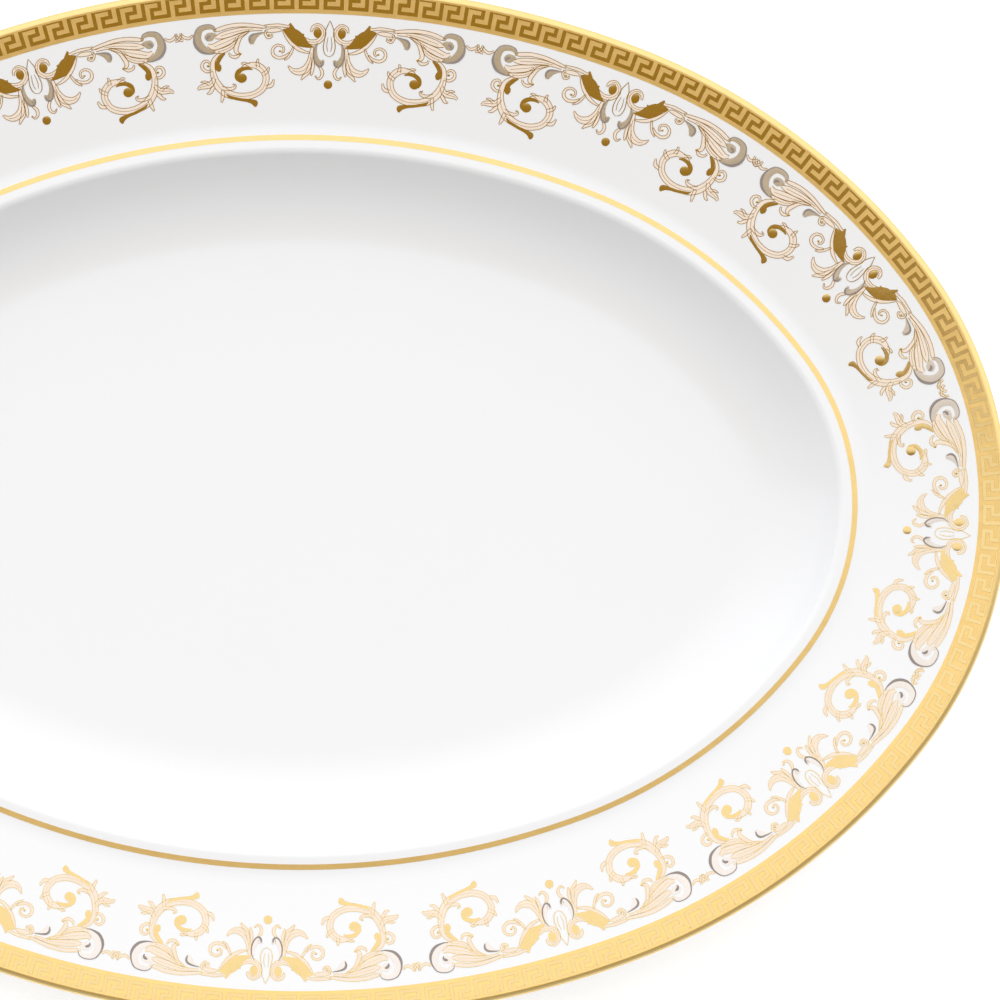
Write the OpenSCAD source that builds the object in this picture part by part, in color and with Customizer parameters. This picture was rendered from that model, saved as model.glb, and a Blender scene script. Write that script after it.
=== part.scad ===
// Oval china serving platter: a gold key-pattern band on the edge, scroll transfers on a wide rim, a gold
// line at the shoulder, a shallow well and a foot ring.
//
// The plan is an eight-centred oval. Its two end arcs, four middle arcs and two side arcs meet on lines
// through their centres, so every curve parallel to the edge is made of arcs about the same centres, and
// the rim keeps one width all the way round. Places on the rim are given by their distance in from the
// edge and by an arc length along the curve at that distance.
//
// Origin: centre of the oval, on the plane that the foot ring rests on. +X along the length, +Z up.

/* [Plan] */
// Radius of the arcs at the two ends
end_radius = 94.8; // [92.8:0.4:96.8]
// How much larger the middle arcs' radius is than the end arcs'
mid_step = 61; // [59:0.5:63]
// How much larger the side arcs' radius is than the middle arcs'
side_step = 75; // [70:2.5:80]

/* [Profile] */
// Thickness of the casting
thickness = 3.8; // [3.4:0.1:4.2]
// Height of the foot ring
foot_height = 3.5; // [3:0.25:4]
// Radius of the hollow wall that rises from the floor to the rim
wall_radius = 27; // [25:0.5:28]
// Steepest slope of that wall, in degrees
wall_slope = 54; // [48:1:56]
// Distance in from the edge where the wall is steepest
wall_at = 40.6; // [40:0.2:42]
// Slope of the rim, in degrees
rim_slope = 8; // [6:0.5:9]
// Radius of the rounded lip's upper side
lip_radius = 1.3; // [1.2:0.1:1.6]

/* [Gilding] */
// Thickness that stands for each fired-on layer
film = 0.12; // [0.1:0.01:0.16]
// Distance in from the edge to the inner side of the gold band
band_to = 7; // [6.8:0.1:7.4]
// Number of keys round the band
keys = 152; // [136:4:160]
// Distance in from the edge to the middle of the gold line at the shoulder
line_at = 36.5; // [36.3:0.1:37.3]
// Width of that line
line_width = 1.3; // [0.8:0.1:1.4]

/* [Transfers] */
// How far each transfer is laid clockwise of its even place round the rim
transfer_shift = 7; // [0:0.5:14]
// Distance in from the edge to the top of the transfers, where their spacing is measured
transfers_from = 7.2; // [7:0.1:7.6]

/* [Hidden] */
$fn = 96;
transfers = 12;
// Directions from the centres to where two arcs meet: the diagonals of two right-angled triangles with
// whole-number sides, 3-4-5 and 44-117-125
seam_1 = [0.8, 0.6];
seam_2 = [0.352, 0.936];
seam_angles = [atan2(seam_1.y, seam_1.x), atan2(seam_2.y, seam_2.x)];

reach_x = mid_step * seam_1.x + side_step * seam_2.x;
mid_centre = [reach_x, 0] - mid_step * seam_1;
side_centre = mid_centre - side_step * seam_2;
mid_radius = end_radius + mid_step;
side_radius = mid_radius + side_step;

// The eight arcs, counter-clockwise from the lower seam of the +X end: [centre, radius, from, to]
seams = [
    -seam_angles[0], seam_angles[0], seam_angles[1], 180 - seam_angles[1], 180 - seam_angles[0],
    180 + seam_angles[0], 180 + seam_angles[1], 360 - seam_angles[1], 360 - seam_angles[0]
];
centres = [
    [reach_x, 0], mid_centre, side_centre, [-mid_centre.x, mid_centre.y],
    [-reach_x, 0], -mid_centre, -side_centre, [mid_centre.x, -mid_centre.y]
];
arc_radii = [end_radius, mid_radius, side_radius, mid_radius];
arcs = [for (k = [0:7]) [centres[k], arc_radii[k % 4], seams[k], seams[k + 1]]];

// The cross-section is drawn as (d, z): d is the distance in from the edge and z the height
floor_z = foot_height + thickness;
wall_centre = [wall_at + wall_radius * sin(wall_slope), floor_z + wall_radius];
crest_slope = -2.5; // the rim's last stretch falls outward
shoulder_radius = 2.2;
shoulder_centre = wall_centre - (wall_radius + shoulder_radius) * slope_normal(wall_slope);
crest_width = 3.2;
crest_top = shoulder_centre + shoulder_radius * slope_normal(crest_slope);
crest_foot = crest_top + crest_width * [-1, tan(crest_slope)];
dip_radius = 20;
dip_centre = crest_foot + dip_radius * slope_normal(crest_slope);
rim_foot = dip_centre - dip_radius * slope_normal(rim_slope);
rim_top_d = lip_radius * (1 + sin(rim_slope));
lip_facets = 5;
lip_centre = [lip_radius, rim_z(rim_top_d) - lip_radius * cos(rim_slope)];
under_lip_radius = 1.2;
under_lip_centre = [under_lip_radius, lip_centre.y];
foot_d = [58.6, 62.6]; // outer and inner faces of the foot ring
foot_round = 0.8;
sector_d = 72; // the arcs' sectors end here, where the floor is flat
plate_d = 68; // one flat plate fills the floor from here to its middle

key_rows = 5;
key_columns = 6;
key_from = 1.28; // distance in from the edge to the outer side of a key's first row
key_top = 1.85; // the lip's gold hides the keys down to here
key_row = 0.95;
key_stroke = 0.88; // width of a key's line, as a share of its cell
key_start = 0.6; // middle of the first key after the first seam, in keys

layers = ["scroll_enamel", "scroll_platinum", "scroll_gold"];
function layer_name(layer, i) = str(layer, "_", i < 9 ? "0" : "", i + 1);

porcelain_body();
lip_gilding();
rim_gold_band();
key_relief();
shoulder_gold_line();
for (i = [0:transfers - 1]) {
    scroll_enamel(i);
    scroll_platinum(i);
    scroll_gold(i);
}

function direction(angle) = [cos(angle), sin(angle)];
// Upward normal, in (d, z), of a surface that rises outward at this slope
function slope_normal(slope) = [sin(slope), cos(slope)];
// Points round a centre, in (d, z), from one slope's normal to another's; a negative radius is a hollow
function bend(centre, radius, from, to, n) =
    [for (i = [0:n]) centre + radius * slope_normal(from + (to - from) * i / n)];
// Height of the rim's straight upper side
function rim_z(d) = rim_foot.y + (rim_foot.x - d) * tan(rim_slope);

// ---- Plan ----

// Arc length, along the curve at distance d, from the first seam to the start of arc k
function length_before(k, d) = k == 0 ? 0 : length_before(k - 1, d) + arc_length(k - 1, d);
function arc_length(k, d) = (arcs[k][1] - d) * (arcs[k][3] - arcs[k][2]) * PI / 180;
function perimeter(d) = length_before(8, d);
function arc_holding(s, d, k = 0) = k == 7 || s < length_before(k + 1, d) ? k : arc_holding(s, d, k + 1);

// The arc and the direction of its normal at arc length s, measured at distance d
function station(s, d) =
    let (lap = perimeter(d), along = s - lap * floor(s / lap), k = arc_holding(along, d))
    [k, arcs[k][2] + (along - length_before(k, d)) / (arcs[k][1] - d) * 180 / PI];
function arc_length_at(station, d) =
    let (k = station[0])
    length_before(k, d) + (station[1] - arcs[k][2]) * PI / 180 * (arcs[k][1] - d);
function plan_point(station, d) = arcs[station[0]][0] + (arcs[station[0]][1] - d) * direction(station[1]);

// The part of the plan between an arc's two seams
module wedge(arc) {
    far = 1.3 * arc[1];
    polygon([
        arc[0],
        arc[0] + far * direction(arc[2]),
        arc[0] + far * (direction(arc[2]) + direction(arc[3])),
        arc[0] + far * direction(arc[3])
    ]);
}

// A (d, z) outline carried round the whole oval
module round_the_oval(outline) {
    above = 40; // clears the top of the rim
    for (arc = arcs)
        intersection() {
            translate(arc[0])
                rotate_extrude() polygon([for (p = outline) [arc[1] - p.x, p.y]]);
            translate([0, 0, -1])
                linear_extrude(above) wedge(arc);
        }
}

// ---- Casting ----

function upper_side() = concat(
    [[sector_d, floor_z]],
    bend(wall_centre, -wall_radius, 0, wall_slope, 9),
    bend(shoulder_centre, shoulder_radius, wall_slope - 14, crest_slope, 3),
    bend(dip_centre, -dip_radius, crest_slope, rim_slope, 2),
    bend(lip_centre, lip_radius, rim_slope, -90, lip_facets)
);

function lower_side() = concat(
    bend(under_lip_centre, under_lip_radius, -120, -180 + rim_slope, 2),
    [[crest_foot.x, crest_foot.y - thickness]],
    bend(wall_centre, -wall_radius - thickness, wall_slope - 8, 12, 6),
    [[foot_d[0] - foot_round, foot_height]],
    [[foot_d[0], foot_height - foot_round]],
    bend([foot_d[0] + foot_round, foot_round], foot_round, -90, -180, 3),
    bend([foot_d[1] - foot_round, foot_round], foot_round, 180, 90, 3),
    [[foot_d[1], foot_height - foot_round]],
    [[foot_d[1] + foot_round, foot_height]],
    [[sector_d, foot_height]]
);

// The flat middle of the floor, which overlaps the arcs' sectors by a few millimetres
module floor_plate() {
    corners = 40;
    translate([0, 0, foot_height])
        linear_extrude(thickness)
            polygon([
                for (i = [0:corners - 1])
                    plan_point(station(i / corners * perimeter(plate_d), plate_d), plate_d)
            ]);
}

module porcelain_body() {
    color("white")
        union() {
            round_the_oval(concat(upper_side(), lower_side()));
            floor_plate();
        }
}

// ---- Gilding ----

// A layer on the rim's straight upper side, as (d, z)
function rim_layer(from, to) =
    let (
        up = film * slope_normal(rim_slope),
        outer = [from, rim_z(from)],
        inner = [to, rim_z(to)]
    )
    [outer, inner, inner + up, outer + up];

module lip_gilding() {
    // Slopes under the lip where the gold's lower bend starts and where the gold stops
    wraps_from = -110;
    wraps_to = -150;
    inner = concat(
        bend(lip_centre, lip_radius, rim_slope, -90, lip_facets),
        bend(under_lip_centre, under_lip_radius, wraps_from, wraps_to, 2)
    );
    outer = concat(
        bend(lip_centre, lip_radius + film, rim_slope, -90, lip_facets),
        bend(under_lip_centre, under_lip_radius + film, wraps_from, wraps_to, 2)
    );
    color("gold")
        round_the_oval(concat(outer, [for (i = [len(inner) - 1:-1:0]) inner[i]]));
}

module rim_gold_band() {
    color("goldenrod")
        round_the_oval(rim_layer(rim_top_d, band_to));
}

module shoulder_gold_line() {
    ends = [for (side = [-1, 1]) let (d = line_at + side * line_width / 2)
        [d, crest_top.y - (crest_top.x - d) * tan(-crest_slope)]];
    color("gold")
        round_the_oval([ends[0], ends[1], ends[1] + [0, film], ends[0] + [0, film]]);
}

// One key seen with the edge of the platter up: its line runs through these cells, as (column, row),
// and stops just short of the next key's line
key_line = [[0, 0], [3, 0], [3, 2], [1, 2], [1, 4], [5, 4], [5, 0]];

// Outline of a line of this width that turns only by right angles
function square_line(path, width) =
    let (
        last = len(path) - 1,
        along = [for (i = [0:last - 1]) let (step = path[i + 1] - path[i]) step / norm(step)],
        left = [for (step = along) [-step.y, step.x]],
        offsets = concat(
            [left[0] - along[0]],
            [for (i = [1:last - 1]) left[i - 1] + left[i]],
            [left[last - 1] + along[last - 1]]
        ),
        back = concat(
            [-left[0] - along[0]],
            [for (i = [1:last - 1]) -left[i - 1] - left[i]],
            [-left[last - 1] + along[last - 1]]
        )
    )
    concat(
        [for (i = [0:last]) path[i] + offsets[i] * width / 2],
        [for (i = [last:-1:0]) path[i] + back[i] * width / 2]
    );

module key_relief() {
    middle_d = key_from + key_row * key_rows / 2;
    pitch = perimeter(middle_d) / keys;
    cell = [pitch / key_columns, key_row];
    color("darkgoldenrod")
        for (i = [0:keys - 1]) {
            place = station((i + key_start) * pitch, middle_d);
            translate(concat(plan_point(place, middle_d), rim_z(middle_d)))
                rotate([0, 0, place[1] - 90])
                    rotate([rim_slope, 0, 0])
                        translate([-pitch / 2, key_row * key_rows / 2, film])
                            linear_extrude(film)
                                polygon([for (p = square_line(key_line, key_stroke))
                                    [(p.x + 0.5) * cell.x, -max((p.y + 0.5) * cell.y, key_top - key_from)]]);
        }
}

// ---- Transfers ----
// A transfer is drawn as (x, d): x is the arc length to one side of its middle, measured at distance d in
// from the edge. Its two halves are mirror images, and its shapes stay clear of each other.

// A curve through hand-placed points
function through(points, n = 2) =
    let (last = len(points) - 1)
    concat(
        [for (i = [0:last - 1], j = [0:n - 1])
            let (
                t = j / n,
                p0 = points[max(i - 1, 0)],
                p1 = points[i],
                p2 = points[i + 1],
                p3 = points[min(i + 2, last)]
            )
            (2 * p1 + (p2 - p0) * t + (2 * p0 - 5 * p1 + 4 * p2 - p3) * t ^ 2
                + (3 * p1 - p0 - 3 * p2 + p3) * t ^ 3) / 2],
        [points[last]]
    );

// Outline of a band along (x, d, width) points
function band(points) =
    let (
        path = through(points),
        last = len(path) - 1,
        sides = [for (i = [0:last])
            let (step = path[min(i + 1, last)] - path[max(i - 1, 0)])
            [-step.y, step.x] / norm([step.x, step.y]) * path[i][2] / 2]
    )
    concat(
        [for (i = [0:last]) [path[i].x, path[i].y] + sides[i]],
        [for (i = [last:-1:0]) [path[i].x, path[i].y] - sides[i]]
    );

spot_corners = 10;
function spot(x, d, radius) =
    [for (i = [0:spot_corners - 1]) [x, d] + radius * direction(i * 360 / spot_corners)];

function mean(points, i = 0) = i == len(points) ? [0, 0] : points[i] / len(points) + mean(points, i + 1);

function transfer_middle(i) =
    let (d = transfers_from)
    station(arc_length_at([0, 0], d) - transfer_shift + i * perimeter(d) / transfers, d);

// Lays a thin plate of this outline on transfer i, on one side of its middle, tangent to the rim
module lay(i, outline, side = 1) {
    middle = transfer_middle(i);
    places = [for (p = outline) station(arc_length_at(middle, p.y) + side * p.x, p.y)];
    centre = mean(outline);
    place = station(arc_length_at(middle, centre.y) + side * centre.x, centre.y);
    outward = direction(place[1]);
    clockwise = [outward.y, -outward.x];
    origin = plan_point(place, centre.y);
    // The plate lies on the slope, so it is longer that way than its plan
    plate = [for (j = [0:len(outline) - 1])
        let (offset = plan_point(places[j], outline[j].y) - origin)
        [offset * clockwise, offset * outward / cos(rim_slope)]];
    translate([origin.x, origin.y, rim_z(centre.y)])
        rotate([0, 0, place[1] - 90])
            rotate([rim_slope, 0, 0])
                linear_extrude(film) polygon(plate);
}

module lay_pairs(i, outlines) {
    for (side = [-1, 1], outline = outlines)
        lay(i, outline, side);
}

// Leaves, curl eyes, beads and scroll bars
module scroll_gold(i) {
    color("gold") {
        lay_pairs(i, [
            concat(
                through([[4, 14.8], [6, 13.2], [6.6, 11.8], [8, 10.9], [9.3, 9.4]]),
                through([[11.2, 11.1], [9.5, 13], [7.5, 15.1], [5.6, 15.4]])
            ),
            spot(2.9, 11.8, 1),
            spot(20.8, 21.8, 1.2),
            band([[18.6, 20.4, 0.2], [20.3, 19.5, 0.7], [21.9, 20, 0.8]]),
            band([[24.3, 25.9, 0.4], [21, 27.2, 0.7], [17.6, 28, 1.1]]),
            band([[24.9, 16.4, 0.2], [26, 17.9, 0.8], [25.7, 19.4, 1.2]])
        ]);
        lay(i, spot(0, 23.8, 1.05));
    }
}

// Volutes and their eyes, hanging tongues, and the hooks beside the bud
module scroll_platinum(i) {
    color("silver")
        lay_pairs(i, [
            band([
                [27.4, 9.9, 0.3], [29.4, 9.2, 1.1], [31.6, 10.2, 1.3],
                [32.1, 12.4, 1.6], [30.8, 14.4, 1.5], [28.2, 15.2, 0.5]
            ]),
            spot(28.8, 11.6, 1.2),
            [[16, 11.3], [19, 11.8], [19.4, 13.2], [18.3, 14.2], [17.4, 12.8]],
            band([[3.2, 15, 0.3], [3.4, 16.8, 0.7], [3, 19, 0.9], [1.5, 18.6, 0.4]])
        ]);
}

// Bud, curls, arms, scrolls and leaves
module scroll_enamel(i) {
    color("antiquewhite") {
        lay(i, [
            [0, 8.4], [0.6, 10.5], [0.8, 13], [1, 15.6],
            [0, 17.2], [-1, 15.6], [-0.8, 13], [-0.6, 10.5]
        ]);
        lay_pairs(i, [
            band([[1.9, 10.4, 0.4], [1.5, 12.4, 0.7], [3, 14, 0.8], [5, 13, 0.8], [5.6, 12.4, 0.4]]),
            band([[12, 11.2, 0.7], [15, 10.4, 1], [19, 10.4, 1.2], [23, 11.4, 2.6], [26.8, 13.4, 2.2]]),
            band([[22, 13.1, 1.2], [22, 14.8, 1.2], [21.2, 16.1, 0.5]]),
            band([
                [25, 14.8, 1], [27.6, 18.6, 1], [27.2, 22.4, 1.2], [24.6, 25, 1.2], [21, 26.1, 0.9],
                [17.3, 25.6, 0.9], [15, 23.4, 1], [15.2, 20.7, 1], [17.2, 19.2, 0.8], [18.8, 19.5, 0.3]
            ]),
            band([[28.6, 19.6, 0.3], [29.3, 18.2, 0.6], [30.6, 18.4, 0.7], [30.4, 19.6, 0.4]]),
            band([[28.2, 23.2, 0.4], [29.6, 23.6, 1.1], [31.8, 23.2, 0.4]]),
            band([[4.6, 16.2, 0.5], [4.8, 18.4, 1], [6.6, 20.6, 1.7], [9.4, 20.2, 0.5]]),
            band([[9.4, 14.9, 0.4], [10, 16.6, 0.8], [12, 17.2, 0.8], [13, 15.8, 0.7], [12, 14.9, 0.4]])
        ]);
    }
}
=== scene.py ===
"""Looks of the oval china serving platter: the glazed casting, its gilded edge and twelve scroll transfers.

The drawing is in millimetres. A place on the platter is (s, d): d is the distance in from the edge, and
s the arc length round the curve at that distance, counter-clockwise from the middle of the +X end.
"""

import math

import bmesh
import bpy
import numpy as np
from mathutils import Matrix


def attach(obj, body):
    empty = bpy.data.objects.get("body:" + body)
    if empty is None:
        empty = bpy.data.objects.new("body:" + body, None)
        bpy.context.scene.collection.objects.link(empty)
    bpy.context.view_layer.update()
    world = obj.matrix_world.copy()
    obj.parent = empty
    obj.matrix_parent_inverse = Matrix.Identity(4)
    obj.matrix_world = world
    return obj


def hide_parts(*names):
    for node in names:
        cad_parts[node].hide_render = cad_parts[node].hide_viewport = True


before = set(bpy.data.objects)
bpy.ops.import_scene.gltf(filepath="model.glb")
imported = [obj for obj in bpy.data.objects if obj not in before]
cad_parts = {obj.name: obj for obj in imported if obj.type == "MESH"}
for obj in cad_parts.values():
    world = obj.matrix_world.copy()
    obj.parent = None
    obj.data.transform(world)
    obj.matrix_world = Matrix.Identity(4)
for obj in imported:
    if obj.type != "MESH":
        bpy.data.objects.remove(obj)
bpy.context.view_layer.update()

MM = 0.001

# ---- The eight-centred oval, as in part.scad ----

END_RADIUS = 94.8
MID_STEP = 61.0
SIDE_STEP = 75.0
SEAM_1 = np.array([0.8, 0.6])
SEAM_2 = np.array([0.352, 0.936])


def oval():
    """Centres, radii and seam directions of the eight arcs, counter-clockwise from the lower seam at +X."""
    end = np.array([MID_STEP * SEAM_1[0] + SIDE_STEP * SEAM_2[0], 0.0])
    mid = end - MID_STEP * SEAM_1
    side = mid - SIDE_STEP * SEAM_2
    flip_x = np.array([-1.0, 1.0])
    centres = np.array([end, mid, side, mid * flip_x, -end, -mid, -side, -mid * flip_x])
    mid_radius = END_RADIUS + MID_STEP
    radii = np.tile([END_RADIUS, mid_radius, mid_radius + SIDE_STEP, mid_radius], 2)
    a = math.atan2(SEAM_1[1], SEAM_1[0])
    b = math.atan2(SEAM_2[1], SEAM_2[0])
    pi = math.pi
    seams = np.array([-a, a, b, pi - b, pi - a, pi + a, pi + b, 2 * pi - b, 2 * pi - a])
    return centres, radii, seams


CENTRES, RADII, SEAMS = oval()


def lengths_before(d):
    """Arc length at distance d from the first seam to the start of each arc, and the whole way round."""
    each = (RADII - d[..., None]) * np.diff(SEAMS)
    return np.concatenate([np.zeros(d.shape + (1,)), np.cumsum(each, axis=-1)], axis=-1)


def station(s, d):
    """The arc and the direction of its normal at (s, d)."""
    before = lengths_before(d)
    start = -SEAMS[0] * (RADII[0] - d)
    along = np.mod(s + start, before[..., -1])
    k = (along[..., None] >= before[..., 1:8]).sum(axis=-1)
    into = along - np.take_along_axis(before, k[..., None], axis=-1)[..., 0]
    return k, SEAMS[k] + into / (RADII[k] - d)


def length_at(k, phi, d):
    """Arc length s, at distance d, of the place on arc k with this normal direction."""
    before = np.take_along_axis(lengths_before(d), np.full(d.shape + (1,), k), axis=-1)[..., 0]
    return before + (phi - SEAMS[k]) * (RADII[k] - d) + SEAMS[0] * (RADII[0] - d)


def plan(k, phi, d):
    """(x, y) of the place on arc k with this normal direction, at distance d in from the edge."""
    return CENTRES[k] + (RADII[k] - d)[..., None] * np.stack([np.cos(phi), np.sin(phi)], axis=-1)


def perimeter(d):
    """Arc length all the way round at distance d."""
    return float(lengths_before(np.array([float(d)]))[0, -1])


# ---- Cross-section, as (d, z) ----

THICKNESS = 3.8
FOOT_HEIGHT = 3.5
FLOOR_Z = FOOT_HEIGHT + THICKNESS
WALL_RADIUS = 27.0
WALL_SLOPE = 54.0
WALL_AT = 40.6  # distance in from the edge to the steepest part of the wall
SHOULDER_RADIUS = 2.2
CREST_SLOPE = -2.5
CREST_WIDTH = 3.2
DIP_RADIUS = 20.0
RIM_SLOPE = 8.0
LIP_RADIUS = 1.3
UNDER_LIP_RADIUS = 1.2
LIP_FACETS = 12
KNEE_RADIUS = 6.0  # between the underside of the rim and the outside of the wall
KNEE_SLOPE = 48.0  # where the knee meets the wall
WALL_FOOT_SLOPE = 13.0  # where the outside of the wall meets the foot ring
FOOT_D = (58.6, 62.6)
FOOT_ROUND = 0.8
SECTOR_D = 72.0


def normal(slope):
    """Unit (d, z) normal of a surface that rises towards the edge by this many degrees."""
    return np.array([math.sin(math.radians(slope)), math.cos(math.radians(slope))])


def bend(centre, radius, start, end, n):
    """Points round a centre from one slope's normal to another's; a negative radius is a hollow."""
    return [centre + radius * normal(start + (end - start) * i / n) for i in range(n + 1)]


WALL_REACH = WALL_RADIUS * math.sin(math.radians(WALL_SLOPE))
WALL_CENTRE = np.array([WALL_AT + WALL_REACH, FLOOR_Z + WALL_RADIUS])
SHOULDER_CENTRE = WALL_CENTRE - (WALL_RADIUS + SHOULDER_RADIUS) * normal(WALL_SLOPE)
CREST_TOP = SHOULDER_CENTRE + SHOULDER_RADIUS * normal(CREST_SLOPE)
CREST_FOOT = CREST_TOP + CREST_WIDTH * np.array([-1, math.tan(math.radians(CREST_SLOPE))])
DIP_CENTRE = CREST_FOOT + DIP_RADIUS * normal(CREST_SLOPE)
RIM_FOOT = DIP_CENTRE - DIP_RADIUS * normal(RIM_SLOPE)
RIM_TOP_D = LIP_RADIUS * (1 + math.sin(math.radians(RIM_SLOPE)))
RIM_TOP_Z = RIM_FOOT[1] + (RIM_FOOT[0] - RIM_TOP_D) * math.tan(math.radians(RIM_SLOPE))
LIP_CENTRE = np.array([LIP_RADIUS, RIM_TOP_Z - LIP_RADIUS * math.cos(math.radians(RIM_SLOPE))])
UNDER_LIP_CENTRE = np.array([UNDER_LIP_RADIUS, LIP_CENTRE[1]])


def between(a, b, n):
    """Points strictly between two points, so that long straight stretches have even quads."""
    return [a + (b - a) * i / (n + 1) for i in range(1, n + 1)]


def upper_side():
    """From the flat of the floor out to the edge."""
    wall = bend(WALL_CENTRE, -WALL_RADIUS, 0, WALL_SLOPE, 22)
    shoulder = bend(SHOULDER_CENTRE, SHOULDER_RADIUS, WALL_SLOPE - 7, CREST_SLOPE, 8)
    dip = bend(DIP_CENTRE, -DIP_RADIUS, CREST_SLOPE, RIM_SLOPE, 6)
    lip = bend(LIP_CENTRE, LIP_RADIUS, RIM_SLOPE, -90, LIP_FACETS)
    floor_edge = np.array([SECTOR_D, FLOOR_Z])
    points = [floor_edge]
    points += between(floor_edge, wall[0], 3) + wall
    points += shoulder + dip
    points += between(dip[-1], lip[0], 12) + lip
    return np.array(points)


def lower_side():
    """From under the edge back in to the flat of the base."""
    lip = bend(UNDER_LIP_CENTRE, UNDER_LIP_RADIUS, -100, -180 + RIM_SLOPE, 8)
    wall_top = WALL_CENTRE - (WALL_RADIUS + THICKNESS) * normal(KNEE_SLOPE)
    knee_centre = wall_top - KNEE_RADIUS * normal(KNEE_SLOPE)
    knee = bend(knee_centre, KNEE_RADIUS, RIM_SLOPE + 2, KNEE_SLOPE - 6, 6)
    wall = bend(WALL_CENTRE, -WALL_RADIUS - THICKNESS, KNEE_SLOPE, WALL_FOOT_SLOPE, 14)
    outer, inner = FOOT_D
    # Small fillets lead from the wall and the base into the foot ring
    foot_outside = [
        np.array([outer - 1.4, FOOT_HEIGHT + 0.12]),
        np.array([outer - 0.5, FOOT_HEIGHT - 0.25]),
        np.array([outer - 0.08, FOOT_HEIGHT - 0.9]),
    ]
    foot_ring = bend(np.array([outer + FOOT_ROUND, FOOT_ROUND]), FOOT_ROUND, -90, -180, 5)
    foot_ring += between(foot_ring[-1], np.array([inner - FOOT_ROUND, 0.0]), 2)
    foot_ring += bend(np.array([inner - FOOT_ROUND, FOOT_ROUND]), FOOT_ROUND, 180, 90, 5)
    foot_inside = [
        np.array([inner + 0.08, FOOT_HEIGHT - 0.9]),
        np.array([inner + 0.5, FOOT_HEIGHT - 0.25]),
        np.array([inner + 1.4, FOOT_HEIGHT]),
        np.array([SECTOR_D, FOOT_HEIGHT]),
    ]
    rim = lip + between(lip[-1], knee[0], 10)
    return np.array(rim + knee + wall + foot_outside + foot_ring + foot_inside)


UPPER = upper_side()


def surface_z(d):
    """Height of the platter's upper side at distance d in from the edge."""
    return np.interp(d, UPPER[::-1, 0], UPPER[::-1, 1])


# ---- Meshes ----

SHARP = math.radians(40)  # edges that turn more than this are not smoothed
MERGE = 1e-6  # metres; the floor's middle line is reached from both sides, and is joined by this
ROUND = 480  # vertices in each loop round the oval


def make_piece(name, vertices, faces, materials, smooth=True, material_of=None, merge=0.0):
    """A closed mesh object from millimetres; corners closer than merge, in metres, become one."""
    mesh = bpy.data.meshes.new(name)
    mesh.from_pydata((np.asarray(vertices) * MM).tolist(), [], faces)
    for surface in materials:
        mesh.materials.append(surface)
    mesh.polygons.foreach_set("use_smooth", [smooth] * len(mesh.polygons))
    if material_of is not None:
        mesh.polygons.foreach_set("material_index", material_of)
    shell = bmesh.new()
    shell.from_mesh(mesh)
    if merge:
        bmesh.ops.remove_doubles(shell, verts=shell.verts, dist=merge)
    bmesh.ops.recalc_face_normals(shell, faces=shell.faces)
    shell.to_mesh(mesh)
    shell.free()
    mesh.set_sharp_from_angle(angle=SHARP)
    piece = bpy.data.objects.new(name, mesh)
    bpy.context.scene.collection.objects.link(piece)
    return piece


def place(piece, slot, *nodes):
    """Rides the platter's one body, and stands in for these CAD nodes."""
    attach(piece, "root")
    if nodes:
        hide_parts(*nodes)


def grid_faces(rows, columns, close_rows=False):
    """Quads of a grid whose columns run round a loop; its rows can close on themselves too."""
    faces = []
    for i in range(rows if close_rows else rows - 1):
        here = i * columns
        there = (i + 1) % rows * columns
        for j in range(columns):
            after = (j + 1) % columns
            faces.append((here + j, here + after, there + after, there + j))
    return faces


def loops():
    """The stations that every sweep shares, evenly spaced along the edge."""
    s = np.arange(ROUND) * perimeter(0) / ROUND
    return station(s, np.zeros(ROUND))


LOOP_K, LOOP_PHI = loops()


def sweep(outline):
    """Vertices of (d, z) points carried round the oval, one loop of vertices to a point."""
    rings = []
    for d, z in outline:
        xy = plan(LOOP_K, LOOP_PHI, np.full(ROUND, float(d)))
        rings.append(np.column_stack([xy, np.full(ROUND, z)]))
    return np.concatenate(rings)


def ring_piece(name, outline, materials):
    """A closed (d, z) outline carried round the oval."""
    return make_piece(name, sweep(outline), grid_faces(len(outline), ROUND, close_rows=True), materials)


# ---- Materials ----

GRAIN_FINENESS = 9  # the noise in the roughness is this much finer than the one in the colour
WAVE_HEIGHT = 0.001  # of the bump, in metres, before its strength


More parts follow.
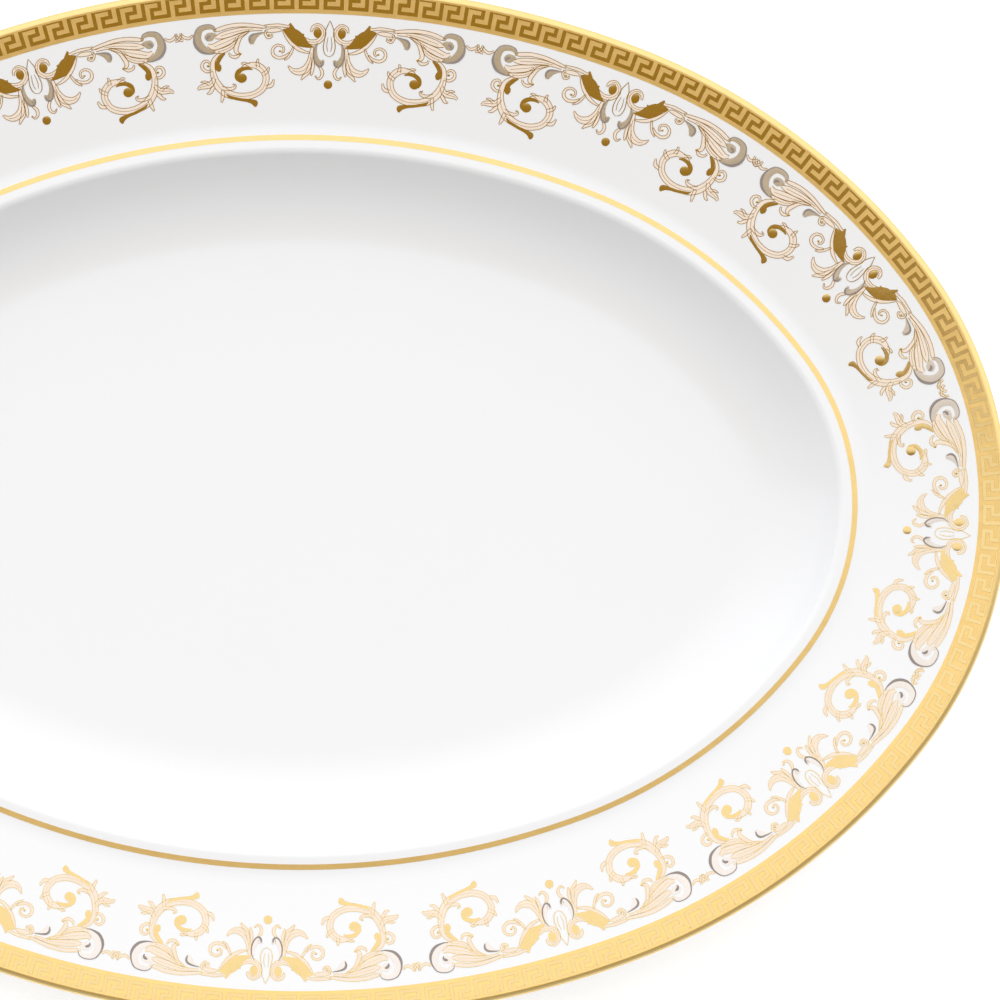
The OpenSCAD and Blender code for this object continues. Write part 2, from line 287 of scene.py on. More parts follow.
def material(name, base, roughness, vary, rough_vary, scale, bump, metallic=0.0, **sockets):
    """A Principled material whose colour, roughness and surface wander a little with object-space noise.

    vary and rough_vary are the reach of the colour, as a share, and of the roughness.
    """
    surface = bpy.data.materials.new(name)
    surface.use_nodes = True
    nodes = surface.node_tree.nodes
    links = surface.node_tree.links
    shader = nodes["Principled BSDF"]
    shader.inputs["Metallic"].default_value = metallic
    for socket, value in sockets.items():
        shader.inputs[socket.replace("_", " ")].default_value = value
    where = nodes.new("ShaderNodeTexCoord")
    cloud = nodes.new("ShaderNodeTexNoise")
    cloud.inputs["Scale"].default_value = scale
    cloud.inputs["Detail"].default_value = 4.0
    links.new(where.outputs["Object"], cloud.inputs["Vector"])

    tint = nodes.new("ShaderNodeMix")
    tint.data_type = "RGBA"
    tint.inputs["A"].default_value = (*[c * (1 - vary) for c in base], 1)
    tint.inputs["B"].default_value = (*[min(c * (1 + vary), 1.0) for c in base], 1)
    links.new(cloud.outputs["Fac"], tint.inputs["Factor"])
    links.new(tint.outputs["Result"], shader.inputs["Base Color"])

    grain = nodes.new("ShaderNodeTexNoise")
    grain.inputs["Scale"].default_value = scale * GRAIN_FINENESS
    grain.inputs["Detail"].default_value = 3.0
    links.new(where.outputs["Object"], grain.inputs["Vector"])
    spread = nodes.new("ShaderNodeMapRange")
    spread.inputs["To Min"].default_value = max(roughness - rough_vary, 0.01)
    spread.inputs["To Max"].default_value = roughness + rough_vary
    links.new(grain.outputs["Fac"], spread.inputs["Value"])
    links.new(spread.outputs["Result"], shader.inputs["Roughness"])

    waves = nodes.new("ShaderNodeBump")
    waves.inputs["Strength"].default_value = bump
    waves.inputs["Distance"].default_value = WAVE_HEIGHT
    links.new(cloud.outputs["Fac"], waves.inputs["Height"])
    links.new(waves.outputs["Normal"], shader.inputs["Normal"])
    return surface


GLAZE = material("glazed_porcelain", (0.832, 0.844, 0.867), roughness=0.15, vary=0.006, rough_vary=0.03,
                 scale=25.0, bump=0.03, Specular_IOR_Level=0.4)
BISCUIT = material("unglazed_foot", (0.74, 0.72, 0.68), roughness=0.75, vary=0.06, rough_vary=0.1,
                   scale=300.0, bump=0.25)
MATT_GOLD = material("matt_gold", (0.79, 0.565, 0.225), roughness=0.40, vary=0.05, rough_vary=0.06,
                     scale=220.0, bump=0.10, metallic=1.0)
SOFT_GOLD = material("lip_gold", (0.78, 0.58, 0.25), roughness=0.30, vary=0.05, rough_vary=0.06,
                     scale=180.0, bump=0.05, metallic=1.0)
BRIGHT_GOLD = material("bright_gold", (0.64, 0.48, 0.22), roughness=0.15, vary=0.04, rough_vary=0.04,
                       scale=160.0, bump=0.03, metallic=1.0)
SCROLL_GOLD = material("scroll_gold", (0.64, 0.48, 0.22), roughness=0.16, vary=0.06, rough_vary=0.05,
                       scale=240.0, bump=0.03, metallic=1.0)
PLATINUM = material("platinum", (0.68, 0.63, 0.59), roughness=0.29, vary=0.05, rough_vary=0.05,
                    scale=200.0, bump=0.03, metallic=0.9)
ENAMEL = material("flesh_enamel", (0.85, 0.73, 0.62), roughness=0.5, vary=0.05, rough_vary=0.06,
                  scale=260.0, bump=0.06)
INK = material("grey_ink", (0.27, 0.23, 0.21), roughness=0.5, vary=0.15, rough_vary=0.1,
               scale=400.0, bump=0.05)


# ---- Casting ----

FLOOR_LINE = 0.55  # length of the line in the middle of the floor, as a share of the flat's length
FLOOR_RINGS = 8
UNGLAZED_Z = 0.3  # the foot ring is bare below this height


def floor_loops(z, shrink):
    """Loops that close the flat middle of the floor or base down to a line along the length."""
    edge = plan(LOOP_K, LOOP_PHI, np.full(ROUND, SECTOR_D))
    line = edge * [FLOOR_LINE, 0.0]
    return [np.column_stack([edge + (line - edge) * t, np.full(ROUND, z)]) for t in shrink]


def porcelain_body():
    """The casting: one skin from the middle of the floor over the rim to the middle of the base."""
    steps = np.linspace(0, 1, FLOOR_RINGS + 1)
    outline = np.concatenate([UPPER, lower_side()])
    loops_in = floor_loops(FLOOR_Z, steps[:0:-1])
    loops_out = floor_loops(FOOT_HEIGHT, steps[1:])
    vertices = np.concatenate(loops_in + [sweep(outline)] + loops_out)
    rows = len(outline) + len(loops_in) + len(loops_out)
    faces = grid_faces(rows, ROUND)
    bare = [int(max(vertices[v][2] for v in face) < UNGLAZED_Z) for face in faces]
    surfaces = [GLAZE, BISCUIT]
    return make_piece("porcelain_casting", vertices, faces, surfaces, material_of=bare, merge=MERGE)


place(porcelain_body(), "porcelain", "porcelain_body")

# ---- Gilding ----

LEAF = 0.04  # how far the gold stands off the glaze, and reaches into it
GILDED_UNDER = (-100, -150)  # slopes under the lip between which it is gilded
BAND_TO = 7.0
BAND_LEAF = LEAF - 0.01
TUCK = 0.2  # the matt band starts this far under the lip's gold
SHOULDER_LINE = (35.85, 37.15)


def lip_gilding():
    """The gold round the lip: its outside from the rim to underneath, then its inside back again."""
    wraps_from, wraps_to = GILDED_UNDER
    top = bend(LIP_CENTRE, LIP_RADIUS + LEAF, RIM_SLOPE, -90, LIP_FACETS)
    under = bend(UNDER_LIP_CENTRE, UNDER_LIP_RADIUS + LEAF, wraps_from, wraps_to, 5)
    under_back = bend(UNDER_LIP_CENTRE, UNDER_LIP_RADIUS - LEAF, wraps_to, wraps_from, 5)
    top_back = bend(LIP_CENTRE, LIP_RADIUS - LEAF, -90, RIM_SLOPE, LIP_FACETS)
    return ring_piece("gilded_lip", top + under + under_back + top_back, [SOFT_GOLD])


def rim_ring(name, start, end, height, surface):
    """A thin ring that follows the upper side between two distances from the edge."""
    d = np.linspace(start, end, 4)
    top = np.column_stack([d, surface_z(d) + height])
    bottom = np.column_stack([d, surface_z(d) - height])[::-1]
    return ring_piece(name, np.concatenate([top, bottom]), [surface])


place(lip_gilding(), "bright_gold", "lip_gilding")
matt_band = rim_ring("matt_gold_band", RIM_TOP_D - TUCK, BAND_TO, BAND_LEAF, MATT_GOLD)
place(matt_band, "matt_gold", "rim_gold_band")
shoulder_line = rim_ring("shoulder_line", *SHOULDER_LINE, LEAF, SOFT_GOLD)
place(shoulder_line, "bright_gold", "shoulder_gold_line")

# One key seen with the platter's edge up: its line runs through these cells, as (column, row),
# and stops just short of the next key's line
KEY_LINE = np.array([[0, 0], [3, 0], [3, 2], [1, 2], [1, 4], [5, 4], [5, 0]], float)
KEYS = 152
KEY_ROWS = 5
KEY_COLUMNS = 6
KEY_FROM = 1.28  # distance in from the edge to the outer side of a key's first row
KEY_TOP = 1.85  # the lip's gold hides the keys down to here
KEY_ROW = 0.95
KEY_STROKE = 0.95  # width of a key's line, as a share of its cell
KEY_BEVEL = 0.07  # how much narrower its top is
KEY_HEIGHT = 0.05
KEY_START = 0.77  # middle of the first key after the long axis, in keys


def square_line(path, width):
    """Outline of a line of this width that turns only by right angles."""
    along = np.diff(path, axis=0)
    along /= np.linalg.norm(along, axis=1)[:, None]
    left = np.column_stack([-along[:, 1], along[:, 0]])
    corner = np.concatenate([left[:1], left[:-1] + left[1:], left[-1:]])
    cap = np.zeros_like(path)
    cap[0] = -along[0]
    cap[-1] = along[-1]
    one_side = path + (corner + cap) * width / 2
    other_side = path + (cap - corner) * width / 2
    return np.concatenate([one_side, other_side[::-1]])


def key_relief():
    """All the keys, each with a wider foot and a narrower top."""
    middle = KEY_FROM + KEY_ROW * KEY_ROWS / 2
    pitch = perimeter(middle) / KEYS
    foot = square_line(KEY_LINE, KEY_STROKE)
    top = square_line(KEY_LINE, KEY_STROKE - KEY_BEVEL)
    corners = len(foot)
    vertices = []
    faces = []
    for i in range(KEYS):
        k, phi = station(np.array([(i + KEY_START) * pitch]), np.array([middle]))
        for outline, lift in ((foot, LEAF), (top, LEAF + KEY_HEIGHT)):
            sideways = -(outline[:, 0] + 0.5 - KEY_COLUMNS / 2) * pitch / KEY_COLUMNS
            d = np.maximum(KEY_FROM + (outline[:, 1] + 0.5) * KEY_ROW, KEY_TOP)
            corner_k, corner_phi = station(length_at(k[0], phi[0], d) + sideways, d)
            vertices.append(np.column_stack([plan(corner_k, corner_phi, d), surface_z(d) + lift]))
        first = 2 * i * corners
        faces.append(tuple(range(first + corners, first + 2 * corners))[::-1])
        faces.append(tuple(range(first, first + corners)))
        for j in range(corners):
            after = (j + 1) % corners
            faces.append((first + after, first + j, first + corners + j, first + corners + after))
    return make_piece("polished_keys", np.concatenate(vertices), faces, [BRIGHT_GOLD], smooth=False)


place(key_relief(), "bright_gold", "key_relief")

# ---- Scroll transfers ----
# A transfer is mirrored about its middle. Its lines are (x, d, width): x along the rim from the middle,
# measured at REFERENCE_D, d in from the edge, and the width of the stroke there.

TRANSFERS = 12
TRANSFERS_D = 7.2  # their middles are evenly spaced round the rim at this distance from the edge,
TRANSFER_SHIFT = 7.0  # the first one this far clockwise of the +X end
REFERENCE_D = 13.0
STRETCH = 1.03  # drawn lengths along the rim grow by this
ENAMEL_LIFT = 0.03
PLATINUM_LIFT = 0.04
GOLD_LIFT = 0.05
LINE_LIFT = 0.07
SUNK = 0.03  # how far each stroke reaches below the glaze, to close it underneath
ENAMEL_CROWN = 0.02  # how much higher a stroke's middle is, for each millimetre of its width
METAL_CROWN = 0.01
CROWN_WIDTH = 1.5  # strokes wider than this are crowned no more
LEAST_WIDTH = 0.05
OUTLINE = 0.14  # width of the fine lines along a stroke's sides
VEIN = 0.10  # width of the one along its middle
VEINED_FROM = 1.1  # strokes wider than this have a vein
SPOT_TOP = 0.6  # size of the flat top of a spot, as a share of the spot
SPOT_RISE = 1.7  # height of that top, as a share of the lift of the spot's edge

# Leafy ends beside the bud
CURL = [(4.3, 11.4, 0.3), (3.9, 10.3, 0.7), (2.7, 9.8, 0.9), (1.6, 10.8, 1.0), (1.5, 12.3, 1.1),
        (2.7, 13.6, 1.2), (4.3, 13.8, 1.1), (5.6, 13.2, 0.8), (6.6, 12.2, 0.25)]
LEAF_EDGE = [(10.8, 11.2, 0.25), (9.9, 12.8, 0.6), (8.6, 14.4, 0.8), (7.0, 15.6, 0.8), (5.4, 16.2, 0.5),
             (4.4, 16.3, 0.2)]
LEAF_TOP = [(15.0, 9.9, 0.5), (12.0, 9.8, 0.7), (10.4, 10.0, 0.6), (9.4, 10.1, 0.5), (9.0, 9.3, 0.2)]
LOWER_LEAF = [(3.9, 14.6, 0.5), (4.2, 16.5, 0.9), (4.6, 18.6, 1.3), (5.6, 20.3, 1.8), (7.4, 20.9, 1.5),
              (8.8, 20.4, 0.9), (9.7, 19.4, 0.2)]
LOWER_LOBE = [(4.4, 19.0, 0.8), (4.9, 20.8, 1.0), (5.8, 21.8, 0.8), (6.6, 22.8, 0.2)]
INNER_LOBE = [(3.9, 17.5, 0.5), (3.8, 19.5, 0.8), (4.0, 21.0, 0.6), (4.2, 21.8, 0.2)]
STEM = [(8.3, 14.8, 0.3), (8.9, 16.2, 0.55), (9.7, 17.4, 0.5), (10.6, 18.1, 0.2)]
STEM_CURL = [(9.3, 16.3, 0.3), (10.4, 17.2, 0.6), (12.0, 17.5, 0.7), (13.2, 16.7, 0.7), (13.2, 15.3, 0.6),
             (12.1, 14.5, 0.5), (10.9, 14.9, 0.45), (10.7, 15.9, 0.4), (11.3, 16.4, 0.3)]
FOOT = [(2.2, 19.6, 0.5), (1.5, 20.8, 0.7), (1.7, 22.0, 0.6), (2.5, 22.5, 0.4), (3.2, 21.8, 0.2)]
# Arm out to the volute
EYE_LEAF = [(10.9, 11.0, 0.2), (12.0, 10.9, 0.9), (13.4, 11.0, 1.0), (14.4, 11.1, 0.7), (14.9, 11.5, 0.3)]
SMALL_CURL = [(14.6, 10.9, 0.5), (14.9, 11.8, 0.5), (14.3, 12.7, 0.5), (13.4, 12.4, 0.4), (13.4, 11.8, 0.2)]
ARM_1 = [(14.5, 10.2, 0.5), (17.0, 9.8, 0.8), (20.0, 9.4, 0.9), (23.0, 9.5, 0.9), (25.5, 10.1, 0.9),
         (26.8, 10.4, 0.3)]
ARM_2 = [(15.5, 10.7, 0.5), (18.0, 10.5, 0.9), (20.5, 10.7, 1.3), (23.0, 11.2, 1.6), (25.2, 11.7, 1.4),
         (26.6, 12.0, 0.4)]
ARM_3 = [(19.0, 11.1, 0.4), (21.0, 11.9, 1.0), (23.0, 12.8, 1.5), (25.0, 13.5, 1.8), (27.0, 14.1, 1.5),
         (28.4, 13.6, 0.6)]
ARM_4 = [(18.5, 10.9, 0.3), (20.6, 12.2, 0.8), (21.6, 14.0, 1.0), (21.9, 15.5, 0.9), (21.2, 16.3, 0.5)]
ARM_5 = [(21.5, 12.6, 0.5), (22.8, 14.2, 1.0), (24.4, 15.0, 1.2), (26.0, 15.3, 1.0), (27.4, 15.2, 0.3)]
ARM_FOOT = [(20.9, 16.1, 0.4), (22.0, 16.9, 0.7), (23.2, 16.6, 0.5), (23.6, 15.8, 0.3)]
# C-scroll that hangs from the volute
SCROLL = [(25.6, 15.6, 0.5), (27.3, 17.2, 0.9), (27.8, 19.2, 1.2), (27.6, 21.4, 1.5), (26.7, 23.6, 1.9),
          (24.8, 25.4, 1.9), (22.0, 26.3, 1.6), (18.8, 26.2, 1.5), (16.2, 24.9, 1.5), (15.1, 22.6, 1.5),
          (15.5, 20.7, 1.6), (16.8, 19.4, 1.6), (18.5, 19.0, 1.2), (20.0, 19.1, 0.6), (20.9, 19.5, 0.2)]
OUTER_CURL = [(27.9, 19.7, 0.4), (29.2, 19.8, 0.6), (30.2, 18.9, 0.7), (30.0, 17.7, 0.6), (29.0, 17.3, 0.5),
              (28.3, 18.0, 0.4)]
OUTER_LEAF = [(27.5, 21.5, 0.7), (28.6, 22.9, 1.4), (30.0, 23.2, 1.3), (31.2, 23.4, 0.9), (31.9, 23.9, 0.3)]
OUTER_LOBE_1 = [(28.0, 23.6, 0.9), (28.9, 24.8, 0.7), (29.8, 25.1, 0.2)]
OUTER_LOBE_2 = [(28.9, 22.8, 0.7), (30.1, 22.2, 0.5), (31.0, 22.2, 0.15)]
TAIL = [(25.7, 24.6, 0.8), (26.0, 26.2, 0.8), (26.4, 27.5, 0.3)]
LEAFLET_1 = [(15.9, 21.4, 0.8), (14.7, 20.6, 0.7), (14.3, 19.6, 0.2)]
LEAFLET_2 = [(15.2, 24.4, 0.7), (13.8, 24.0, 0.8), (13.2, 22.6, 0.3)]
LEAFLET_3 = [(16.9, 19.6, 0.8), (17.0, 18.4, 0.6), (16.8, 17.6, 0.2)]
LEAFLET_4 = [(19.0, 19.0, 0.7), (20.2, 18.5, 0.5), (20.9, 18.6, 0.2)]
INNER_CURL = [(26.0, 24.0, 0.8), (24.3, 24.4, 0.8), (23.0, 24.2, 0.6), (22.6, 23.6, 0.3), (23.3, 23.3, 0.2)]
# Ties between neighbouring transfers
TIE_1 = [(31.5, 10.8, 0.3), (32.6, 11.5, 0.6), (33.7, 11.1, 0.6), (34.4, 10.2, 0.4)]
TIE_2 = [(33.9, 11.9, 0.3), (34.7, 11.6, 0.6), (35.3, 10.8, 0.5), (35.4, 10.0, 0.3)]

ENAMEL_STROKES = [
    CURL, LEAF_EDGE, LEAF_TOP, LOWER_LEAF, LOWER_LOBE, INNER_LOBE, STEM, STEM_CURL, FOOT,
    EYE_LEAF, SMALL_CURL, ARM_1, ARM_2, ARM_3, ARM_4, ARM_5, ARM_FOOT,
    SCROLL, OUTER_CURL, OUTER_LEAF, OUTER_LOBE_1, OUTER_LOBE_2, TAIL,
    LEAFLET_1, LEAFLET_2, LEAFLET_3, LEAFLET_4, INNER_CURL, TIE_1, TIE_2,
]

GOLD_LEAF = [(3.8, 15.0, 0.3), (5.2, 14.5, 1.4), (6.8, 13.5, 2.9), (8.2, 12.2, 3.0), (9.4, 11.3, 2.0),
             (10.8, 10.9, 0.4)]
GOLD_TIP = [(8.3, 11.6, 1.6), (8.8, 10.3, 1.0), (9.1, 9.3, 0.2)]
GOLD_BARB = [(7.0, 12.9, 1.6), (6.3, 12.2, 0.8), (5.9, 11.9, 0.2)]
GOLD_RING_LEAF = [(24.6, 15.8, 0.5), (25.7, 16.8, 0.9), (26.5, 18.0, 1.0), (26.5, 18.9, 1.6),
                  (26.2, 19.7, 1.2), (26.0, 20.0, 0.3)]
GOLD_TAIL = [(18.3, 20.1, 0.3), (19.4, 19.8, 0.7), (20.8, 19.9, 1.0), (21.9, 20.7, 1.1), (22.2, 21.8, 0.9),
             (21.9, 22.6, 0.5)]
GOLD_BAR = [(25.0, 25.4, 0.4), (24.2, 26.2, 0.8), (22.0, 27.0, 0.7), (20.0, 27.4, 0.8), (18.6, 27.8, 1.2),
            (18.1, 28.2, 1.5), (18.0, 29.0, 0.5)]
GOLD_STROKES = [GOLD_LEAF, GOLD_TIP, GOLD_BARB, GOLD_RING_LEAF, GOLD_TAIL, GOLD_BAR]
# Spots are (x, d, half width, half height)
GOLD_SPOTS = [(2.8, 11.6, 0.95, 1.2), (21.0, 22.0, 1.25, 1.15), (11.6, 15.9, 0.3, 0.3),
              (28.8, 18.5, 0.35, 0.35), (21.0, 16.2, 0.35, 0.35), (14.1, 12.0, 0.3, 0.3)]
BEAD = (0.0, 23.8, 1.05, 1.05)

VOLUTE = [(26.2, 10.6, 0.4), (26.9, 9.6, 0.9), (28.3, 9.3, 1.2), (29.8, 9.8, 1.4), (30.5, 11.4, 1.6),
          (30.4, 13.0, 1.8), (29.4, 14.5, 1.7), (28.0, 15.2, 1.1), (26.7, 15.4, 0.4)]
VOLUTE_EYE = [(26.2, 11.2, 0.3), (27.0, 11.4, 1.5), (27.8, 11.7, 2.1), (28.5, 12.0, 1.5), (28.8, 12.2, 0.5)]
HOOK = [(2.6, 13.6, 0.3), (3.2, 15.2, 0.7), (3.2, 17.0, 1.0), (2.7, 18.5, 1.6), (1.9, 18.9, 1.6),
        (1.2, 18.0, 0.5)]
TONGUE = [(15.2, 11.4, 0.3), (16.5, 11.8, 0.8), (17.7, 12.4, 1.7), (18.1, 13.2, 1.6), (18.0, 14.1, 0.8)]
PLATINUM_STROKES = [VOLUTE, VOLUTE_EYE, HOOK, TONGUE]

VOLUTE_RIM = [(26.1, 10.3, 0.12), (26.8, 9.1, 0.2), (28.4, 8.7, 0.22), (30.3, 9.3, 0.25),
              (31.35, 11.3, 0.35), (31.3, 13.3, 0.65), (30.1, 15.0, 0.65), (28.2, 15.7, 0.35),
              (26.8, 15.7, 0.15)]
VOLUTE_DOT = [(27.5, 11.5, 0.3), (28.1, 11.7, 0.7), (28.5, 12.2, 0.4), (28.3, 12.6, 0.2)]
HOOK_OUTSIDE = [(2.8, 14.0, 0.12), (3.5, 15.5, 0.25), (3.6, 17.2, 0.3), (3.1, 18.8, 0.35), (2.2, 19.6, 0.4),
                (1.5, 19.1, 0.5), (1.4, 18.3, 0.25)]
TONGUE_TOP = [(15.4, 11.4, 0.15), (16.8, 11.6, 0.35), (18.1, 12.0, 0.5), (18.6, 12.8, 0.5),
              (18.4, 13.8, 0.25)]
INK_STROKES = [VOLUTE_RIM, VOLUTE_DOT, HOOK_OUTSIDE, TONGUE_TOP]

BUD_SIDE = [(0.0, 8.6, 0.1), (0.5, 9.7, 0.17), (0.95, 11.0, 0.17), (1.15, 13.0, 0.17), (1.4, 15.0, 0.2),
            (0.95, 16.6, 0.17), (0.0, 17.2, 0.1)]
BUD_FOLD = [(0.35, 12.5, 0.1), (0.6, 14.5, 0.15), (0.35, 16.0, 0.1)]


def through(points, steps=6):
    """A smooth curve through every point, with its widths."""
    p = np.array(points, float)
    p = np.concatenate([[2 * p[0] - p[1]], p, [2 * p[-1] - p[-2]]])
    t = (np.arange(steps) / steps)[:, None]
    spans = [
        0.5 * (2 * b + (c - a) * t + (2 * a - 5 * b + 4 * c - e) * t**2 + (3 * b - a - 3 * c + e) * t**3)
        for a, b, c, e in zip(p, p[1:], p[2:], p[3:])
    ]
    curve = np.concatenate(spans + [p[-2:-1]])
    curve[:, 2] = np.maximum(curve[:, 2], LEAST_WIDTH)
    return curve


def across(curve):
    """Unit sideways directions of a curve."""
    along = np.gradient(curve[:, :2], axis=0)
    along /= np.linalg.norm(along, axis=1)[:, None]
    return np.column_stack([-along[:, 1], along[:, 0]])


def edges(curve):
    """The two sides of a stroke, as fine lines of one width."""
    reach = across(curve) * curve[:, 2:] / 2
    width = np.full((len(curve), 1), OUTLINE)
    return [np.hstack([curve[:, :2] + reach, width]), np.hstack([curve[:, :2] - reach, width])]


class Drawing:
    """Closed shapes in one layer of a transfer: vertices (x, d, lift) and faces."""

    def __init__(self):
        self.vertices = []
        self.faces = []

    def add(self, vertices, faces):
        first = len(self.vertices)
        self.vertices.extend(vertices)
        self.faces.extend(tuple(first + v for v in face) for face in faces)

    def stroke(self, curve, lift, crown=0.0):
        """A stroke a little thicker along its middle; its skirt goes down into the glaze."""
        n = len(curve)
        places = curve[:, :2]
        reach = across(curve) * curve[:, 2:] / 2
        low = np.full((n, 1), -SUNK)
        side = np.full((n, 1), lift)
        top = lift + crown * np.minimum(curve[:, 2:], CROWN_WIDTH)
        columns = [
            np.hstack([places - reach, low]),
            np.hstack([places - reach, side]),
            np.hstack([places, top]),
            np.hstack([places + reach, side]),
            np.hstack([places + reach, low]),
        ]
        m = len(columns)
        ends = [tuple(range(m))[::-1], tuple(range((n - 1) * m, n * m))]
        self.add(np.stack(columns, axis=1).reshape(-1, 3), ends + grid_faces(n, m))

    def spot(self, x, d, half_width, half_height, lift, sides=20):
        """An oval dot with a smaller flat top."""
        turn = np.arange(sides) * 2 * math.pi / sides
        ring = np.column_stack([x + half_width * np.cos(turn), d + half_height * np.sin(turn)])
        middle = np.array([x, d])
        inner = middle + (ring - middle) * SPOT_TOP
        rows = ((ring, -SUNK), (ring, lift), (inner, lift * SPOT_RISE))
        vertices = [np.column_stack([r, np.full(sides, z)]) for r, z in rows]
        ends = [tuple(range(sides))[::-1], tuple(range(2 * sides, 3 * sides))]
        self.add(np.concatenate(vertices), ends + grid_faces(len(rows), sides))

    def both_halves(self):
        """A drawing of these shapes and their mirror image about the transfer's middle."""
        whole = Drawing()
        whole.add(self.vertices, self.faces)
        whole.add(np.array(self.vertices) * [-1, 1, 1], [face[::-1] for face in self.faces])
        return whole


def plain_drawing(strokes, lift, crown=0.0):
    """Both halves of a layer that is nothing but strokes."""
    drawing = Drawing()
    for points in strokes:
        drawing.stroke(through(points), lift, crown)
    return drawing.both_halves()


def gold_drawing():
    """Gold leaves and spots, and the fine outlines and veins drawn round the enamel."""
    drawing = Drawing()
    for points in GOLD_STROKES:
        drawing.stroke(through(points), GOLD_LIFT, METAL_CROWN)
    for spot in GOLD_SPOTS:
        drawing.spot(*spot, GOLD_LIFT)
    for points in ENAMEL_STROKES:
        curve = through(points)
        for edge in edges(curve):
            drawing.stroke(edge, LINE_LIFT)
        if max(curve[:, 2]) > VEINED_FROM:
            vein = curve[len(curve) // 6 : -len(curve) // 6].copy()
            vein[:, 2] = VEIN
            drawing.stroke(vein, LINE_LIFT)
    drawing.stroke(through(BUD_SIDE), LINE_LIFT)
    drawing.stroke(through(BUD_FOLD), LINE_LIFT)
    whole = drawing.both_halves()
    whole.spot(*BEAD, GOLD_LIFT)
    return whole


def drape(vertices, middle):
    """Carries (x, d, lift) on to the rim; the transfer's middle is at this arc length along REFERENCE_D."""
    x, d, lift = np.array(vertices).T
    k, phi = station(middle + x * STRETCH, np.full(len(x), REFERENCE_D))
    return np.column_stack([plan(k, phi, d), surface_z(d) + lift])


def transfer_middle(i):
    """Arc length along REFERENCE_D of transfer i's middle."""
    along = i * perimeter(TRANSFERS_D) / TRANSFERS - TRANSFER_SHIFT
    k, phi = station(np.array([along]), np.array([TRANSFERS_D]))
    return float(length_at(k[0], phi, np.array([REFERENCE_D]))[0])


def scroll_transfers():
    """Every layer of every transfer; the ink has no CAD node of its own."""
    enamel = plain_drawing(ENAMEL_STROKES, ENAMEL_LIFT, ENAMEL_CROWN)
    platinum = plain_drawing(PLATINUM_STROKES, PLATINUM_LIFT, METAL_CROWN)
    ink = plain_drawing(INK_STROKES, LINE_LIFT)
    layers = [
        ("scroll_enamel", enamel, ENAMEL, "scroll_enamel"),
        ("scroll_platinum", platinum, PLATINUM, "platinum"),
        ("scroll_gold", gold_drawing(), SCROLL_GOLD, "bright_gold"),
        ("scroll_ink", ink, INK, "platinum"),
    ]
    for layer, drawing, surface, slot in layers:
        for i in range(TRANSFERS):
            number = f"{i + 1:02d}"
            vertices = drape(drawing.vertices, transfer_middle(i))
            piece = make_piece(f"{layer}_drawn_{number}", vertices, drawing.faces, [surface])
            nodes = [] if surface is INK else [f"{layer}_{number}"]
            place(piece, slot, *nodes)


scroll_transfers()

# ---- Stage, light and camera ----

FLOOR_HALF = 3.0  # metres
RIM_HEIGHT = 23 * MM
VIEW_WIDTH = 239.3 * MM  # of the picture, at the height of the rim
VIEW_MIDDLE = (48.4 * MM, 0.87 * MM)
VIEW_TURN = math.radians(0.4)
CAMERA_HEIGHT = 2.0
SENSOR_WIDTH = 36.0  # millimetres, as the camera has it

SKY = (1.54, 1.54, 1.55)
OVERHEAD = (0.45, 0.29, 0.03)
LOW_DOWN = (0.60, 0.60, 0.61)
OVERHEAD_FROM = (0.78, 0.91)  # heights on the unit sphere between which low down turns into overhead
SKY_FROM = (-0.14, -0.01)  # the same for near and far, along y


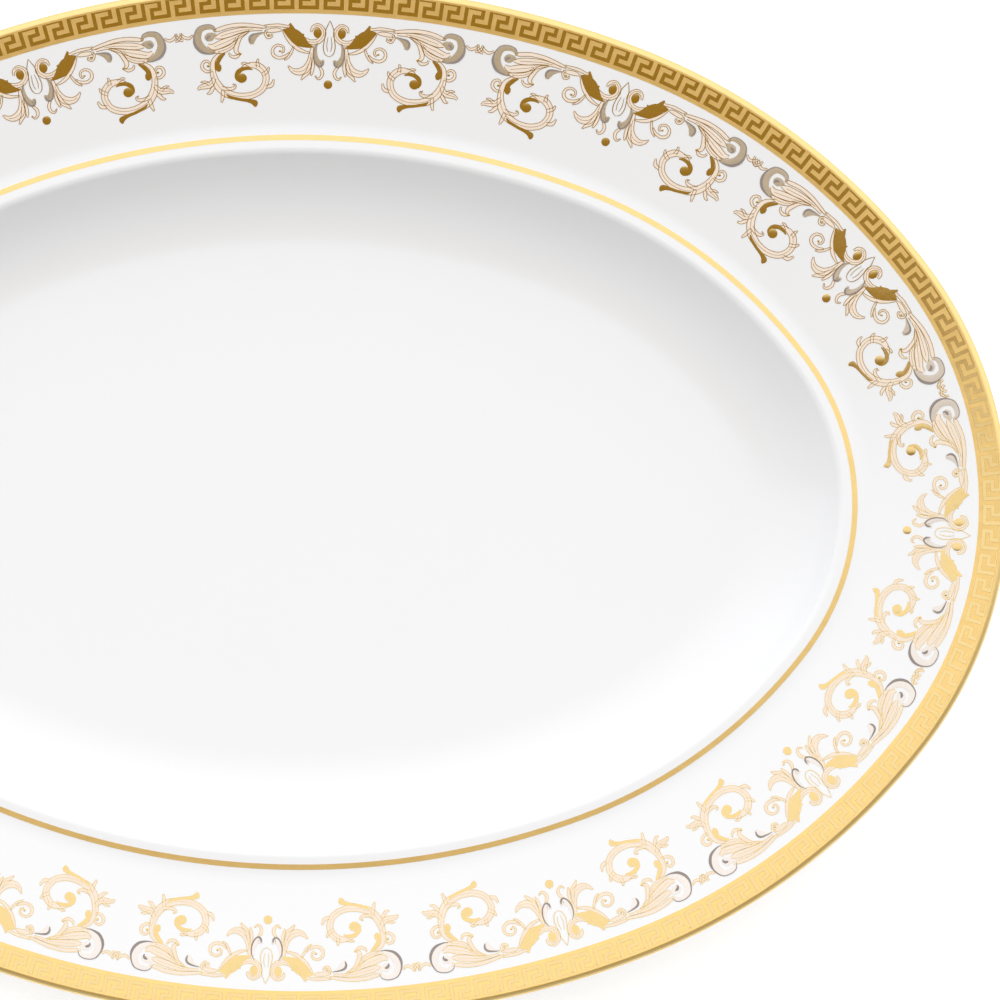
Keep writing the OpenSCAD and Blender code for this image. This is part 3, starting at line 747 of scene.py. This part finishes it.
def floor():
    """White paper that the platter rests on."""
    half = FLOOR_HALF
    corners = [(-half, -half, 0), (half, -half, 0), (half, half, 0), (-half, half, 0)]
    mesh = bpy.data.meshes.new("floor")
    mesh.from_pydata(corners, [], [(0, 1, 2, 3)])
    paper = bpy.data.materials.new("paper")
    paper.use_nodes = True
    shader = paper.node_tree.nodes["Principled BSDF"]
    shader.inputs["Base Color"].default_value = (0.95, 0.95, 0.95, 1)
    shader.inputs["Roughness"].default_value = 0.9
    shader.inputs["Emission Color"].default_value = (1, 1, 1, 1)
    shader.inputs["Emission Strength"].default_value = 0.25
    mesh.materials.append(paper)
    piece = bpy.data.objects.new("floor", mesh)
    bpy.context.scene.collection.objects.link(piece)


def studio():
    """A soft tent: bright over the far side, dark gold overhead on the near side, mid grey lower down."""
    world = bpy.data.worlds.new("studio")
    world.use_nodes = True
    bpy.context.scene.world = world
    nodes = world.node_tree.nodes
    links = world.node_tree.links
    where = nodes.new("ShaderNodeTexCoord")
    split = nodes.new("ShaderNodeSeparateXYZ")
    links.new(where.outputs["Generated"], split.inputs["Vector"])

    def ramp(source, low, high):
        span = nodes.new("ShaderNodeMapRange")
        span.interpolation_type = "SMOOTHSTEP"
        span.inputs["From Min"].default_value = low
        span.inputs["From Max"].default_value = high
        links.new(source, span.inputs["Value"])
        return span.outputs["Result"]

    def mix(factor):
        blend = nodes.new("ShaderNodeMix")
        blend.data_type = "RGBA"
        links.new(factor, blend.inputs["Factor"])
        return blend

    near = mix(ramp(split.outputs["Z"], *OVERHEAD_FROM))
    near.inputs["A"].default_value = (*LOW_DOWN, 1)
    near.inputs["B"].default_value = (*OVERHEAD, 1)
    tent = mix(ramp(split.outputs["Y"], *SKY_FROM))
    links.new(near.outputs["Result"], tent.inputs["A"])
    tent.inputs["B"].default_value = (*SKY, 1)
    links.new(tent.outputs["Result"], nodes["Background"].inputs["Color"])


def camera():
    """Straight down from far off; the view is centred to the right of the platter's middle."""
    data = bpy.data.cameras.new("camera")
    data.sensor_width = SENSOR_WIDTH
    data.lens = SENSOR_WIDTH * (CAMERA_HEIGHT - RIM_HEIGHT) / VIEW_WIDTH
    data.clip_end = 20.0
    piece = bpy.data.objects.new("camera", data)
    piece.location = (*VIEW_MIDDLE, CAMERA_HEIGHT)
    piece.rotation_euler = (0, 0, VIEW_TURN)
    bpy.context.scene.collection.objects.link(piece)
    bpy.context.scene.camera = piece


floor()
studio()
camera()
bpy.context.scene.view_settings.view_transform = "Standard"
